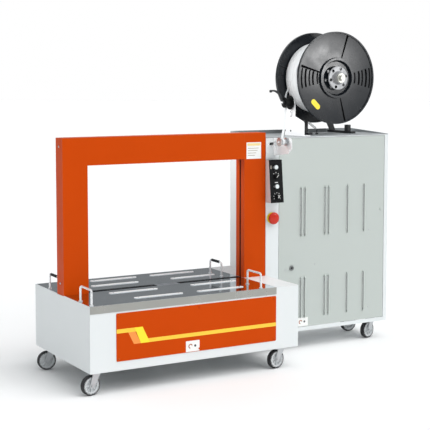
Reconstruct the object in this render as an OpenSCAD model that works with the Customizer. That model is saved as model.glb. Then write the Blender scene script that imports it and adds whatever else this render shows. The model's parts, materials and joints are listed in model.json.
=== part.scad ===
// Semi-automatic arch strapping machine with a control cabinet and a strap reel.
// Millimetres, +Z up. Places below are measured from the front left corner of the
// base unit, X to the right and Y to the back. in_place() then moves the whole
// machine so that its origin is the centre of its box on the floor.

/* [Base unit] */
// Length of the base unit along X
base_length = 1104; // [1094:1:1114]
// Depth of the base unit along Y
base_depth = 660; // [656:1:680]
// Height of the lower edge of the skirts above the floor
skirt_height = 103; // [101:1:106]
// Height of the table top above the floor
table_height = 406; // [398:1:418]
// Thickness of the sheet metal covers
sheet = 2; // [1.5:0.5:3]
// Thickness of the lift-off table plates
plate_thickness = 5.7; // [4.5:0.1:6]
// Width of the strap slot between the table plates
slot_width = 8; // [6:1:12]

/* [Arch] */
// Clear width of the arch
arch_opening = 850; // [846:1:860]
// Clear height of the arch above the table
arch_clear_height = 600; // [500:10:700]
// Width of each post and height of the beam above the opening
post_width = 125; // [118:1:126]
beam_height = 130; // [120:1:150]
// Depth of the arch along Y
arch_depth = 80; // [76:1:84]
// Distance from the base front to the arch front
arch_front = 300; // [299:1:301]

/* [Cabinet] */
// Width of the cabinet along X
cabinet_width = 776; // [770:1:790]
// Depth of the cabinet along Y
cabinet_depth = 355; // [353:1:358]
// Height of the cabinet's lower and upper edges above the floor
cabinet_bottom = 95; // [93:1:97]
cabinet_top_height = 1111; // [1103:1:1118]
// Height of the rear upstand on the cabinet top
upstand = 19; // [10:1:25]
// Width of the plain column left of the cabinet door
column_width = 78; // [78:1:79]

/* [Casters] */
// Diameter of the caster wheels
wheel_diameter = 90; // [86:1:90]
// Tread width of the caster wheels
wheel_width = 25; // [22:1:26]
// Distance from the swivel axis to the wheel axle
trail = 35; // [32:1:36]
// Height of the face that the caster plates bolt to
caster_height = 123; // [123:1:124]

/* [Reel] */
// Radius of the reel flanges
flange_radius = 243; // [230:1:249]
// Radius of the strap wound on the reel
roll_radius = 187; // [130:1:205]
// Height of the reel axis above the floor
reel_height = 1410; // [1403:1:1428]

/* [Controls] */
// Radius of the push buttons
button_radius = 11; // [9:0.5:12]
// Radius of the mushroom head of the emergency stop
mushroom_radius = 31; // [24:1:34]
// Play between a moving piece and the hole it slides in
slide_play = 0.3; // [0.3:0.05:0.4]
// Radial play of a wheel or roller on its axle
running_play = 0.1; // [0.05:0.01:0.1]

/* [Hidden] */
caster_numbers = [1:8];

$fn = 64;
eps = 0.5;

// Gap that keeps sheets and bars of one welded or folded piece separate solids
seam = 0.2;

// Heights in the code below count from a level this far above the floor
ground = 8;
table_top = table_height - ground;
skirt_low = skirt_height - ground;
cabinet_low = cabinet_bottom - ground;
cabinet_high = cabinet_top_height - ground;
reel_z = reel_height - ground;
caster_face = caster_height - ground;

// Table and base frame
plate_bottom = table_top - plate_thickness;
frame_top = plate_bottom - 0.3;
bar = 40;
bar_wall = 4;
slot_middle = arch_front + arch_depth / 2;
slot_front = slot_middle - slot_width / 2;
slot_rear = slot_middle + slot_width / 2;
plate_left = 4;
plate_right = base_length - 129;
cover_left = 128;
cover_right = plate_right;
cover_low = 137;
cover_high = 356;
handle_x = [17, 899];
strip_middle = 552;

// Arch
left_post_x = 2;
left_inner_x = left_post_x + post_width;
right_inner_x = left_inner_x + arch_opening;
right_post_end = right_inner_x + post_width;
beam_bottom = table_top + arch_clear_height;
arch_top = beam_bottom + beam_height;
arch_rear = arch_front + arch_depth;
post_wall = 3;
track_width = 14;
track_depth = 22;
under_track_z = 330;

// Strapping head
head_left = 484;
head_right = 636;
head_front = slot_middle - 78;
head_rear = slot_middle + 78;
head_bottom = 180;
cam_shaft_x = 545;
cam_shaft_z = 285;
cam_shaft_radius = 12.5;
head_window = [498, slot_middle - 24, 622, slot_middle + 24];

// Cabinet
cabinet_left = base_length;
cabinet_right = cabinet_left + cabinet_width;
cabinet_front = arch_front;
cabinet_rear = cabinet_front + cabinet_depth;
cabinet_lid = cabinet_high - 3;
column_right = cabinet_left + column_width;
door_left = column_right + 2;
door_right = cabinet_right - 25;
door_low = cabinet_low + 22;
door_high = cabinet_lid - 5;
door_depth = 18;
door_back = cabinet_front + door_depth + 2;
hinge_x = door_right - 5;
hinge_y = cabinet_front + 5;
hinge_radius = 3;
lock_x = door_left + 78;
lock_z = 424;
louvre_x = [1318, 1342, 1468, 1492, 1613, 1721];
louvre_upper = [593, 834];
louvre_lower = [165, 365];
louvre_radius = 9;

// Control station on the column
station_low = 774;
station_high = 990;
station_top_depth = 27;
station_bottom_depth = 48;
station_tilt = atan((station_bottom_depth - station_top_depth) / (station_high - station_low));
station_x = cabinet_left + 39;
start_z = 953;
mode_z = 907;
stop_z = 856;
tension_z = 805;
estop_x = cabinet_left + 37;
estop_z = 692;

// Reel
reel_x = 1582;
reel_front = 360;
flange_width = 15;
reel_rear = 580;
core_radius = 101;
shaft_radius = 12.5;
bearing_radius = 20;
groove_angles = [72, 164, -75.5];
slot_radii = [[144, 155], [191, 202]];

// Strap guides above and in front of the cabinet
upper_roller = [1293, 419, 1275];
upper_hub_radius = 20;
upper_hub_end = 1324;
upper_pin_radius = 5;
upper_plate_x = 1335;
lower_roller = [1121, 200, 1084.5];
lower_hub_radius = 14;
lower_hub_end = 1158;
lower_pin_radius = 4;
lower_plate_x = 1165;

// Casters: swivel axis X and Y, and the turn of the fork at rest
casters = [
    [50, 40, 8],
    [50, 558, -8],
    [1030, 40, 8],
    [1038, 540, -6],
    [1240, 356, -10],
    [1240, 530, 6],
    [1822, 356, 15],
    [1832, 530, -5]];
wheel_radius = wheel_diameter / 2;
tread_round = 4;
king_pin_radius = 6;
axle_radius = 5;

// Reach of the front left wheel past the base unit
wheel_reach = trail * cos(8) + (wheel_radius - tread_round) * cos(8)
    + (wheel_width / 2 - tread_round) * sin(8) + tread_round;
box_left = 50 - wheel_reach;
box_front = -sheet;
origin_x = (box_left + cabinet_right) / 2;
origin_y = (box_front + base_depth) / 2;

// Strap from the reel to the strapping head: place, and turn of its width from X towards Y
strap_width = 12;
strap_thickness = 0.8;
strap_stations = [
    [1418.5, 470, 1496.5, 90], [1405, 468, 1467, 88], [1388, 465, 1435, 80], [1369, 461, 1402, 68],
    [1348, 456, 1368, 52], [1330, 450, 1337, 34], [1317, 445, 1309, 14], [1312, 441, 1290, 4],
    [1312, 440.2, 1276, 0], [1312, 438.8, 1268, 0], [1311, 435.8, 1261.6, 0],
    [1309, 428, 1254.5, 0], [1280, 389.5, 1227.7, 0], [1250, 347, 1198, 0],
    [1218, 304, 1168, 0], [1184, 261.5, 1138.5, 0], [1151, 221.5, 1110.5, 0],
    [1139, 202, 1099.9, 0], [1138, 194, 1098.4, 0], [1138, 188.5, 1094.4, 0],
    [1138, 185, 1088, 0], [1138, 185, 1081, 0], [1138, 188.5, 1074.6, 0],
    [1138, 194.5, 1070.3, 0], [1138, 201, 1069.2, 0], [1138, 300, 1069, 0],
    [1138, 338, 1069, 0], [1138, 350, 1065, 0], [1138, 357, 1056, 0], [1138, 360, 1044, 0],
    [1138, 360, 900, 0], [1138, 360, 740, 0], [1138, 360, 660, 22], [1138, 360, 580, 45],
    [1138, 360, 500, 68], [1138, 360, 420, 90], [1138, 360, 300, 90], [1136, 360, 284, 90],
    [1129, 359, 271, 90], [1117, 358, 263, 90], [1102, 357, 260, 90], [900, 348, 260, 90],
    [640, 340, 260, 90]];

// Moves the machine from the corner of the base unit to the centre of its footprint.
module in_place() {
    translate([-origin_x, -origin_y, ground]) children();
}

// A box given by its lowest and its highest corner.
module span(low, high) {
    translate(low) cube(high - low);
}

module rod_x(radius, x0, x1, y, z) {
    translate([x0, y, z]) rotate([0, 90, 0]) cylinder(r = radius, h = x1 - x0);
}

module rod_y(radius, y0, y1, x, z) {
    translate([x, y0, z]) rotate([-90, 0, 0]) cylinder(r = radius, h = y1 - y0);
}

module rod_z(radius, z0, z1, x, y) {
    translate([x, y, z0]) cylinder(r = radius, h = z1 - z0);
}

// An angle bar along X: its corner edge is at y and z, its legs point along side and up.
module angle_x(x0, x1, y, z, side, up) {
    union() {
        span([x0, min(y, y + side * bar), min(z, z + up * bar_wall)],
             [x1, max(y, y + side * bar), max(z, z + up * bar_wall)]);
        span([x0, min(y, y + side * bar_wall), min(z, z + up * bar)],
             [x1, max(y, y + side * bar_wall), max(z, z + up * bar)]);
    }
}

// The same along Y.
module angle_y(y0, y1, x, z, side, up) {
    union() {
        span([min(x, x + side * bar), y0, min(z, z + up * bar_wall)],
             [max(x, x + side * bar), y1, max(z, z + up * bar_wall)]);
        span([min(x, x + side * bar_wall), y0, min(z, z + up * bar)],
             [max(x, x + side * bar_wall), y1, max(z, z + up * bar)]);
    }
}

// The same upright, with its legs pointing along side and back.
module angle_z(z0, z1, x, y, side, back) {
    union() {
        span([min(x, x + side * bar), min(y, y + back * bar_wall), z0],
             [max(x, x + side * bar), max(y, y + back * bar_wall), z1]);
        span([min(x, x + side * bar_wall), min(y, y + back * bar), z0],
             [max(x, x + side * bar_wall), max(y, y + back * bar), z1]);
    }
}

// ---- Base unit ----

module base_frame() {
    left = sheet;
    right = base_length - sheet;
    front = sheet;
    rear = base_depth - sheet;
    inner_left = left + bar + seam;
    inner_right = right - bar - seam;
    inner_front = front + bar + seam;
    inner_rear = rear - bar - seam;
    post_low = caster_face + bar + seam;
    post_high = frame_top - bar - seam;
    corners = [[left, front, 1, 1], [left, rear, 1, -1], [right, front, -1, 1], [right, rear, -1, -1]];
    in_place() color("gainsboro") {
        angle_x(left, right, front, caster_face, 1, 1);
        angle_x(left, right, rear, caster_face, -1, 1);
        angle_y(inner_front, inner_rear, left, caster_face, 1, 1);
        angle_y(inner_front, inner_rear, right, caster_face, -1, 1);
        angle_x(left, right, front, frame_top, 1, -1);
        angle_x(left, right, rear, frame_top, -1, -1);
        angle_y(inner_front, inner_rear, left, frame_top, 1, -1);
        angle_y(inner_front, inner_rear, right, frame_top, -1, -1);
        for (corner = corners)
            angle_z(post_low, post_high, corner[0], corner[1], corner[2], corner[3]);
        // Cross rails carry the rear caster plates and the strapping head.
        for (x = [[inner_left, 92], [470, 550], [636, 716], [998, inner_right]])
            span([x[0], inner_front, caster_face], [x[1], inner_rear, caster_face + bar_wall]);
        for (y = [head_front - 20, head_rear - 16])
            span([left + bar_wall + seam, y, 150], [right - bar_wall - seam, y + 36, 156]);
        // Bearers beside the strap slot.
        for (x = [[left_inner_x + 8 + seam, head_left - 6], [head_right + 6, right_inner_x - 8 - seam]])
            for (y = [slot_front - 44, slot_rear + 8])
                span([x[0], y, frame_top - bar_wall], [x[1], y + 36, frame_top]);
        // Seats of the arch posts, slotted for the strap track.
        difference() {
            span([inner_left, arch_front - 8, frame_top - 10], [left_inner_x + 8, arch_rear + 8, frame_top]);
            span([left_inner_x - 26, slot_middle - 12, frame_top - 20],
                 [left_inner_x + 10, slot_middle + 12, table_top]);
        }
        difference() {
            span([right_inner_x - 8, arch_front - 8, frame_top - 10],
                 [inner_right, arch_rear + 8, frame_top]);
            span([right_inner_x - 10, slot_middle - 12, frame_top - 20],
                 [right_inner_x + 26, slot_middle + 12, table_top]);
        }
        difference() {
            span([right_inner_x + 3, arch_front, frame_top + seam],
                 [right_post_end - 3, arch_rear, table_top - sheet]);
            span([right_inner_x, slot_middle - 12, frame_top - 20],
                 [right_inner_x + 26, slot_middle + 12, table_top]);
        }
    }
}

module base_left_panel() {
    in_place() color("whitesmoke") union() {
        span([0, sheet, skirt_low], [sheet, base_depth - sheet, table_top - sheet]);
        for (y = [[sheet, arch_front - seam], [arch_rear + seam, base_depth - sheet]])
            span([0, y[0], table_top - sheet - eps], [3.4, y[1], table_top]);
        span([0, sheet, skirt_low], [12, base_depth - sheet, skirt_low + sheet]);
    }
}

module base_right_cover() {
    in_place() color("white") difference() {
        union() {
            span([base_length - sheet, sheet, skirt_low],
                 [base_length, base_depth - sheet, table_top]);
            span([plate_right + 2, sheet, table_top - sheet],
                 [base_length - sheet, base_depth - sheet, table_top]);
        }
        span([right_inner_x - 8, slot_middle - 10, table_top - 10],
             [right_inner_x + 26, slot_middle + 10, table_top + 10]);
        // Way through for the strap and the cables from the cabinet.
        span([base_length - 10, 325, 200], [base_length + 10, 395, 320]);
    }
}

module base_front_sheet() {
    in_place() color("white")
        span([0, 0, skirt_low], [base_length, sheet, table_top]);
}

module base_rear_panel() {
    slot = [60, 8];
    in_place() color("white") difference() {
        span([0, base_depth - sheet, skirt_low], [base_length, base_depth, table_top]);
        for (column = [0:3], row = [0:4])
            translate([260 + column * 165, base_depth - 5, 210 + row * 24]) cube([slot[0], 10, slot[1]]);
    }
}

module rounded_plate(low, high, radius) {
    // A sheet in the XZ plane with round corners, from low to high along Y.
    difference() {
        span(low, high);
        for (x = [[low[0], 1], [high[0], -1]], z = [[low[2], 1], [high[2], -1]])
            difference() {
                translate([x[0] - (x[1] < 0 ? radius : 1), low[1] - 1, z[0] - (z[1] < 0 ? radius : 1)])
                    cube([radius + 1, high[1] - low[1] + 2, radius + 1]);
                rod_y(radius, low[1] - 2, high[1] + 2, x[0] + x[1] * radius, z[0] + z[1] * radius);
            }
    }
}

module front_cover() {
    in_place() color("orangered")
        rounded_plate([cover_left, -sheet, cover_low], [cover_right, 0, cover_high], 6);
}

module front_edge_strip() {
    in_place() color("silver")
        span([2, -sheet, table_top - 34], [plate_right + 2, 0, table_top]);
}

// ---- Fasteners ----

// A button head screw; its head stands out along the given direction.
module button_screw(place, turn) {
    translate(place) rotate(turn) difference() {
        union() {
            cylinder(r = 5, h = 1.6);
            translate([0, 0, 1.6]) cylinder(r1 = 5, r2 = 3.6, h = 1.2);
        }
        translate([0, 0, 1]) cylinder(r = 1.8, h = 4, $fn = 6);
    }
}

module cover_screws() {
    to_front = [90, 0, 0];
    to_left = [0, -90, 0];
    to_back = [-90, 0, 0];
    to_top = [0, 0, 0];
    in_place() color("silver") {
        for (x = [cover_left + 12, (cover_left + cover_right) / 2, cover_right - 12],
             z = [cover_low + 12, cover_high - 12])
            button_screw([x, -sheet, z], to_front);
        for (x = [cabinet_left + 30, cabinet_right - 30], z = [160, 620, 1070])
            button_screw([x, cabinet_rear, z], to_back);
        for (x = [cabinet_left + 12, column_right - 12])
            button_screw([x, cabinet_front, 150], to_front);
        for (x = [1452, 1732], y = [430, 618])
            button_screw([x, y, cabinet_high + 12], to_top);
        for (z = [table_top + 52, arch_top - 40])
            button_screw([left_post_x, slot_middle, z], to_left);
        for (y = [318, 470])
            button_screw([upper_plate_x + 24, y, cabinet_high + 3], to_top);
    }
}

// ---- Arch ----

module arch_left_post() {
    in_place() color("orangered") difference() {
        span([left_post_x, arch_front, frame_top], [left_inner_x, arch_rear, arch_top]);
        span([left_post_x + post_wall, arch_front + post_wall, frame_top - 1],
             [left_inner_x - post_wall, arch_rear - post_wall, arch_top - post_wall]);
        span([left_inner_x - 10, slot_middle - 7.2, frame_top - 1],
             [left_inner_x + 1, slot_middle + 7.2, beam_bottom + 30]);
    }
}

module arch_right_post() {
    in_place() color("orangered") difference() {
        span([right_inner_x, arch_front, table_top], [right_post_end, arch_rear, arch_top]);
        span([right_inner_x + post_wall, arch_front + post_wall, table_top - 1],
             [right_post_end - post_wall, arch_rear - post_wall, arch_top - post_wall]);
        span([right_inner_x - 1, slot_middle - 7.2, table_top - 1],
             [right_inner_x + 10, slot_middle + 7.2, beam_bottom + 30]);
    }
}

module arch_top_beam() {
    in_place() color("orangered") difference() {
        span([left_inner_x, arch_front, beam_bottom], [right_inner_x, arch_rear, arch_top]);
        span([left_inner_x - 1, arch_front + post_wall, beam_bottom + post_wall],
             [right_inner_x + 1, arch_rear - post_wall, arch_top - post_wall]);
        span([left_inner_x - 1, slot_middle - 7.2, beam_bottom - 1],
             [right_inner_x + 1, slot_middle + 7.2, beam_bottom + 10]);
    }
}

// A channel bar with an open groove; open_side is the face that the strap leaves by.
module track_bar(low, high, open_side) {
    groove = 4;
    difference() {
        span(low, high);
        span([open_side[0] < 0 ? low[0] - 1 : open_side[0] > 0 ? high[0] - 12 : low[0] - 1,
              slot_middle - groove,
              open_side[2] < 0 ? low[2] - 1 : open_side[2] > 0 ? high[2] - 12 : low[2] - 1],
             [open_side[0] < 0 ? low[0] + 12 : high[0] + 1,
              slot_middle + groove,
              open_side[2] < 0 ? low[2] + 12 : high[2] + 1]);
    }
}

module arch_track() {
    y0 = slot_middle - track_width / 2;
    y1 = slot_middle + track_width / 2;
    left_x = left_inner_x - 1;
    right_x = right_inner_x + 1;
    beam_z = beam_bottom + 1;
    low = under_track_z;
    in_place() color("dimgray") {
        track_bar([left_x - track_depth, y0, low + 20], [left_x, y1, beam_z + track_depth], [1, 0, 0]);
        track_bar([right_x, y0, low + 20], [right_x + track_depth, y1, beam_z + track_depth], [-1, 0, 0]);
        track_bar([left_x, y0, beam_z], [right_x, y1, beam_z + track_depth], [0, 0, -1]);
        track_bar([left_x - track_depth, y0, low], [head_left, y1, low + 20], [0, 0, 1]);
        track_bar([head_right, y0, low], [right_x + track_depth, y1, low + 20], [0, 0, 1]);
    }
}

// ---- Strapping head ----

module strapping_head() {
    wall = 10;
    slide = [[500, slot_middle - 22], [620, slot_middle + 22]];
    in_place() color("lightsteelblue") {
        difference() {
            union() {
                span([head_left, head_front, head_bottom], [head_right, head_front + wall, 360]);
                span([head_left, head_rear - wall, head_bottom], [head_right, head_rear, 360]);
                span([head_left, head_front, head_bottom], [head_right, head_rear, head_bottom + wall]);
                for (y = [head_front - 20, head_rear])
                    span([head_left + 10, y, 156], [head_right - 10, y + 20, head_bottom + wall]);
                span([head_left, head_front + wall - eps, 350], [head_right, slide[0][1], 360]);
                span([head_left, slide[1][1], 350], [head_right, head_rear - wall + eps, 360]);
                // Anvil block that carries the sliding top plate.
                span([slide[0][0], slide[0][1] - 4, 350], [slide[1][0], slide[1][1] + 4, 372]);
            }
            rod_y(cam_shaft_radius + running_play, head_front - 5, head_rear + 5, cam_shaft_x, cam_shaft_z);
        }
        // Sliding top plate between the table plates, with its cuts for the grippers.
        difference() {
            span([slide[0][0], slide[0][1], 372], [slide[1][0], slide[1][1], table_top - 0.5]);
            for (x = [530, 572, 590])
                span([x, slide[0][1] - 1, 392], [x + 3, slide[1][1] + 1, table_top + 1]);
        }
        // Drive motor with its flange and terminal box.
        rod_x(52, 318, head_left - 12, slot_middle, 245);
        rod_x(64, head_left - 12, head_left, slot_middle, 245);
        span([350, slot_middle - 30, 297 - 4], [420, slot_middle + 30, 322]);
    }
}

module head_cam_shaft() {
    // Shaft with four cams and the drive wheel at its front end.
    cam_steps = [0, 70, 160, 235];
    in_place() color("darkgray") union() {
        rod_y(cam_shaft_radius, head_front - 30, head_rear + 12, cam_shaft_x, cam_shaft_z);
        for (i = [0:3])
            translate([cam_shaft_x, head_front + 34 + i * 24, cam_shaft_z]) rotate([-90, cam_steps[i], 0]) {
                cylinder(r = 30, h = 12);
                translate([14, 0, 0]) cylinder(r = 24, h = 12);
            }
        rod_y(38, head_front - 30, head_front - 14, cam_shaft_x, cam_shaft_z);
    }
}

// ---- Cabinet ----

module cabinet_shell() {
    low = cabinet_low;
    high = cabinet_lid;
    front = cabinet_front;
    inner_front = front + sheet + seam;
    inner_rear = cabinet_rear - sheet - seam;
    inner_left = cabinet_left + sheet + seam;
    inner_right = cabinet_right - sheet - seam;
    border = door_right + 3;
    rail_left = column_right + seam;
    rail_right = border - seam;
    lug_left = hinge_x - 11;
    in_place() color("white") {
        // Left side with the way through for the strap and the cables.
        difference() {
            span([cabinet_left, inner_front, low], [cabinet_left + sheet, inner_rear, high]);
            span([cabinet_left - 5, 325, 200], [cabinet_left + 5, 395, 320]);
        }
        span([cabinet_right - sheet, inner_front, low], [cabinet_right, inner_rear, high]);
        // Back with its ventilation slots.
        difference() {
            span([cabinet_left, cabinet_rear - sheet, low], [cabinet_right, cabinet_rear, high]);
            for (column = [0:5], row = [0:5])
                translate([cabinet_left + 150 + column * 90, cabinet_rear - 5, 820 + row * 22])
                    cube([60, 10, 8]);
        }
        // Floor with the hole for the mains gland, and the sill behind the door.
        difference() {
            span([inner_left, door_back + sheet + seam, caster_face],
                 [inner_right, inner_rear, caster_face + 3]);
            rod_z(10, caster_face - 2, caster_face + 6, 1600, 600);
        }
        span([rail_left, door_back, door_low], [rail_right, door_back + sheet, caster_face + 3]);
        // Front column and its return, with the strap slot and the emergency stop's hole.
        difference() {
            union() {
                span([cabinet_left, front, low], [column_right, front + sheet, high]);
                span([column_right - sheet, front, low], [column_right, door_back - 1, high]);
            }
            span([cabinet_left + 22, front - 5, 1063], [cabinet_left + 46, front + 5, 1077]);
            rod_y(11, front - 5, front + 5, estop_x, estop_z);
        }
        // Narrow border right of the door.
        union() {
            span([border, front, low], [cabinet_right, front + sheet, high]);
            span([border, front, low], [border + 2, front + 22, high]);
        }
        // Rails below and above the door, with the hinge lugs.
        difference() {
            union() {
                span([rail_left, front, low], [rail_right, front + sheet, door_low - 2]);
                span([lug_left, front, door_low - 6], [rail_right, front + 12, door_low - 2.5]);
            }
            rod_z(hinge_radius + running_play, door_low - 7, door_low + 4, hinge_x, hinge_y);
        }
        difference() {
            union() {
                span([rail_left, front, door_high + 1.5], [rail_right, front + sheet, high]);
                span([lug_left, front, door_high + 1.5], [rail_right, front + 12, door_high + 4.5]);
            }
            rod_z(hinge_radius + running_play, door_high, door_high + 6, hinge_x, hinge_y);
        }
    }
}

module cabinet_top() {
    lid = cabinet_lid;
    rise = cabinet_high + upstand;
    in_place() color("whitesmoke") union() {
        span([cabinet_left, cabinet_front, lid], [cabinet_right, cabinet_rear, cabinet_high]);
        span([cabinet_left, cabinet_rear - sheet, lid], [cabinet_right, cabinet_rear, rise]);
        for (x = [cabinet_left, cabinet_right - sheet])
            translate([x, 0, 0]) rotate([90, 0, 90]) linear_extrude(sheet)
                polygon([[cabinet_front + 2, lid], [cabinet_rear, lid], [cabinet_rear, rise],
                         [cabinet_rear - 12, rise], [cabinet_front + 2, cabinet_high + 1]]);
    }
}

module electrical_panel() {
    back = cabinet_rear - 14;
    face = back - 3 - seam;
    in_place() color("lightgray") {
        // Mounting plate on four spacers.
        span([1300, back - 3, 480], [1780, back, 1000]);
        for (x = [1320, 1760], z = [500, 980]) rod_y(8, back + seam, cabinet_rear - sheet, x, z);
        // Controller, contactors, transformer and terminal rail.
        span([1330, back - 73, 850], [1560, face, 970]);
        for (i = [0:3]) span([1590 + i * 48, back - 88, 860], [1632 + i * 48, face, 950]);
        span([1340, back - 103, 620], [1460, face, 740]);
        span([1500, back - 43, 640], [1750, face, 690]);
    }
}

module cable_gland() {
    in_place() color("black") difference() {
        union() {
            rod_z(14, caster_face - 6, caster_face, 1600, 600);
            translate([1600, 600, caster_face - 20]) cylinder(r = 13, h = 14.5, $fn = 6);
            rod_z(9.8, caster_face - 1, caster_face + 12, 1600, 600);
            translate([1600, 600, caster_face + 3]) cylinder(r = 14, h = 5, $fn = 6);
        }
        rod_z(6.5, caster_face - 25, caster_face + 15, 1600, 600);
    }
}

// ---- Cabinet door ----

// A pressed louvre: a quarter round hood along Z with closed ends, open to the left.
module louvre_hood(x, z0, z1) {
    difference() {
        union() {
            rod_z(louvre_radius, z0, z1, x, cabinet_front);
            for (z = [z0, z1]) translate([x, cabinet_front, z]) sphere(r = louvre_radius);
        }
        rod_z(louvre_radius - 1.5, z0 + 1, z1 - 1, x, cabinet_front);
        span([x - 40, cabinet_front, z0 - 20], [x + 40, cabinet_front + 40, z1 + 20]);
        span([x - 40, cabinet_front - 40, z0 - 20], [x, cabinet_front + 1, z1 + 20]);
    }
}

module cabinet_door() {
    skin = 2;
    front = cabinet_front;
    fold_front = front + skin + seam;
    fold_back = front + door_depth;
    in_place() color("lightgray") {
        // Front sheet with its louvres.
        difference() {
            union() {
                span([door_left, front, door_low], [door_right, front + skin, door_high]);
                for (x = louvre_x) {
                    louvre_hood(x, louvre_upper[0], louvre_upper[1]);
                    louvre_hood(x, louvre_lower[0], louvre_lower[1]);
                }
            }
            for (x = louvre_x, rows = [louvre_upper, louvre_lower])
                span([x - 5, front - 1, rows[0] + 2],
                     [x + louvre_radius - 2.5, front + skin + 1, rows[1] - 2]);
            rod_y(9 + slide_play, front - 1, front + skin + 1, lock_x, lock_z);
        }
        // Folds along the free edge, the bottom and the top.
        span([door_left, fold_front, door_low], [door_left + skin, fold_back, door_high]);
        for (z = [door_low, door_high - skin])
            span([door_left + skin + seam, fold_front, z],
                 [door_right - skin - seam - 8, fold_back, z + skin]);
        // Hinged edge with its blocks and pins.
        union() {
            span([door_right - skin, fold_front, door_low], [door_right, fold_back, door_high]);
            for (z = [door_low, door_high - 14])
                span([hinge_x - 5, fold_front, z], [door_right, front + 14, z + 14]);
            rod_z(hinge_radius, door_low - 5.5, door_low + 2, hinge_x, hinge_y);
            rod_z(hinge_radius, door_high - 2, door_high + 4, hinge_x, hinge_y);
        }
    }
}

module door_lock() {
    front = cabinet_front;
    in_place() color("silver") difference() {
        union() {
            rod_y(13, front - 4.3, front - 0.3, lock_x, lock_z);
            rod_y(9, front - 0.5, front + 24, lock_x, lock_z);
            // Latch tongue, turned up while the door is unlocked.
            span([lock_x - 8, front + 21, lock_z - 12], [lock_x + 8, front + 24, lock_z + 90]);
        }
        // Socket for the cabinet key.
        rod_y(5.5, front - 6, front + 8, lock_x, lock_z);
    }
}

// ---- Controls ----

function station_face(z) = cabinet_front - station_top_depth - (station_high - z) * tan(station_tilt);

// Local +Z stands square out of the sloped face of the station at height z.
module on_station(z) {
    translate([station_x, station_face(z), z]) rotate([90 - station_tilt, 0, 0]) children();
}

module control_station() {
    wall = 3;
    bezel = 3.5;
    top_depth = station_top_depth;
    bottom_depth = station_bottom_depth;
    front = cabinet_front;
    in_place() color("black") {
        difference() {
            union() {
                translate([cabinet_left, 0, 0]) rotate([90, 0, 90]) linear_extrude(column_width)
                    polygon([[front, station_low], [front - bottom_depth, station_low],
                             [front - top_depth, station_high], [front, station_high]]);
                for (z = [start_z, stop_z])
                    on_station(z) cylinder(r = button_radius + 5, h = bezel);
            }
            translate([cabinet_left + wall, 0, 0]) rotate([90, 0, 90])
                linear_extrude(column_width - 2 * wall)
                polygon([[front + 1, station_low + wall],
                         [front - bottom_depth + wall, station_low + wall],
                         [front - top_depth + wall, station_high - wall],
                         [front + 1, station_high - wall]]);
            for (z = [start_z, stop_z])
                on_station(z) translate([0, 0, -8]) cylinder(r = button_radius + slide_play, h = 20);
            for (z = [mode_z, tension_z])
                on_station(z) translate([0, 0, -8]) cylinder(r = 4 + slide_play, h = 20);
        }
        // Collar of the emergency stop.
        difference() {
            rod_y(20, cabinet_front - 7, cabinet_front, estop_x, estop_z);
            rod_y(8 + slide_play, cabinet_front - 9, cabinet_front + 1, estop_x, estop_z);
        }
    }
}

module push_button(z) {
    in_place() color("white") on_station(z) union() {
        translate([0, 0, -5]) cylinder(r = button_radius, h = 13);
        translate([0, 0, 8]) cylinder(r1 = button_radius, r2 = button_radius - 1.5, h = 1.5);
        translate([0, 0, -12]) cylinder(r = 5, h = 8);
    }
}

module knob(z, radius, height, grip, turn) {
    in_place() color("black") on_station(z) rotate([0, 0, turn]) union() {
        translate([0, 0, slide_play]) cylinder(r = radius, h = height / 3);
        translate([0, 0, height / 3]) cylinder(r1 = radius - 1, r2 = radius - 2.5, h = height * 2 / 3);
        translate([-grip / 2, -radius + 1, height / 3])
            cube([grip, 2 * radius - 2, height * 2 / 3 + 3]);
        translate([0, 0, -8]) cylinder(r = 4, h = 10);
    }
}

module start_button() { push_button(start_z); }
module stop_button() { push_button(stop_z); }
module mode_knob() { knob(mode_z, 13, 13, 7, -45); }
module tension_knob() { knob(tension_z, 14, 16, 9, 0); }

module estop_button() {
    head = mushroom_radius;
    in_place() color("red") translate([estop_x, cabinet_front - 13, estop_z]) rotate([90, 0, 0])
        rotate_extrude() polygon([[0, -48], [8, -48], [8, 0], [head - 8, 0], [head - 2, 2], [head, 6],
            [head - 1.5, 10], [head - 6, 13.5], [head - 14, 16], [head - 24, 17], [0, 17.3]]);
}

// ---- Reel ----

// Local X and Y lie in the reel's face as seen from the front, local Z points to the front.
module on_reel(y) {
    translate([reel_x, y, reel_z]) rotate([90, 0, 0]) children();
}

module radial_groove(angle, bottom, height) {
    rotate([0, 0, angle]) translate([0, 0, bottom]) linear_extrude(height)
        polygon([[110, -3.5], [flange_radius - 9, -6.5], [flange_radius - 9, 6.5], [110, 3.5]]);
}

module reel_front_flange() {
    in_place() color("#26282c") on_reel(reel_front + flange_width) difference() {
        rotate_extrude() polygon([[40, 0], [flange_radius, 0], [flange_radius, flange_width],
            [flange_radius - 8, flange_width], [flange_radius - 9, 9], [107, 9], [105, 21],
            [94, 21], [86, 4], [40, 4]]);
        for (a = groove_angles) radial_groove(a, 5, 20);
        for (ring = slot_radii, a = [-14, 166]) rotate([0, 0, a]) translate([0, 0, 4])
            rotate_extrude(angle = 28) translate([ring[0], 0]) square([ring[1] - ring[0], 20]);
    }
}

module reel_rear_flange() {
    in_place() color("#202226") on_reel(reel_rear) difference() {
        union() {
            rotate_extrude() polygon([[shaft_radius + running_play, 0], [flange_radius, 0],
                [flange_radius, flange_width], [flange_radius - 8, flange_width], [flange_radius - 9, 7],
                [shaft_radius + running_play, 7]]);
            rotate_extrude() translate([core_radius - 5, 6]) square([5, 188]);
            rotate_extrude() translate([shaft_radius + running_play, 6])
                square([bearing_radius - shaft_radius - running_play, 228]);
        }
        for (a = groove_angles) radial_groove(a, 4, 20);
        for (a = [0:60:300]) rotate([0, 0, a]) translate([60, 0, -1]) cylinder(r = 18, h = 10);
    }
}

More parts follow.
